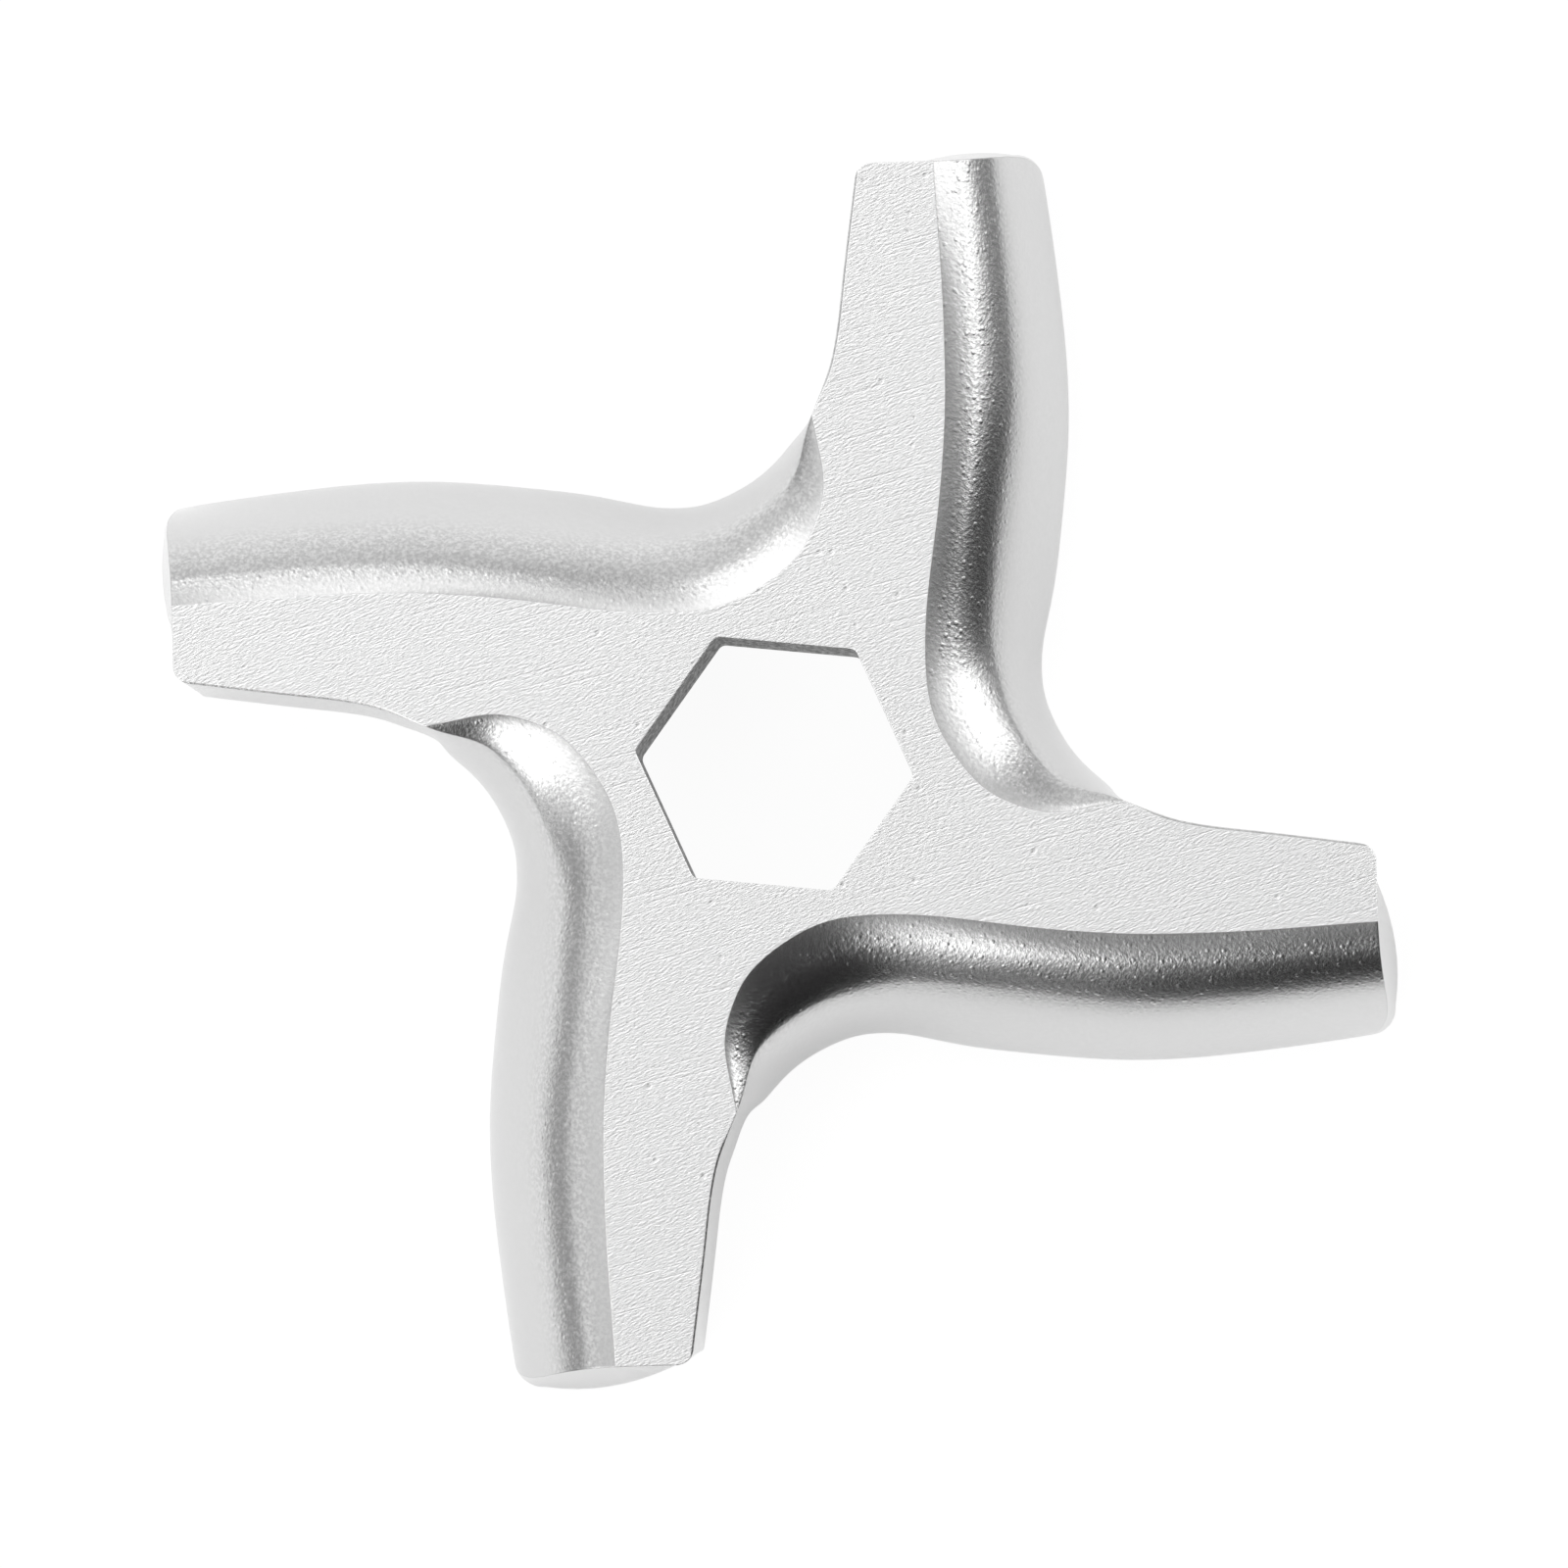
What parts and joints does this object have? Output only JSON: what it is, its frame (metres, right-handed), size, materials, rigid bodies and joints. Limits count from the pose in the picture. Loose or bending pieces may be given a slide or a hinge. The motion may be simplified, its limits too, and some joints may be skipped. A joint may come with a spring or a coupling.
{
  "type": "meat grinder knife",
  "caption": "Cross-shaped meat grinder knife: swept arms with flat ground lands, hollow flutes under sharp cutting edges, rounded wings and a hexagonal drive hole.",
  "frame": {"origin": "on the axis of the hexagonal drive hole, at the back face", "axes": "+Z along the drive axis towards the ground cutting face; the outermost corners of the arms lie on the X and Y axes, so the box is the swept diameter"},
  "size_m": [0.0454, 0.0454, 0.007],
  "materials": {
    "knife_steel": "ground satin lands, blasted casting in the flutes, smooth wings"
  },
  "bodies": {
    "root": {"knife": "knife_steel"}
  },
  "joints": []
}
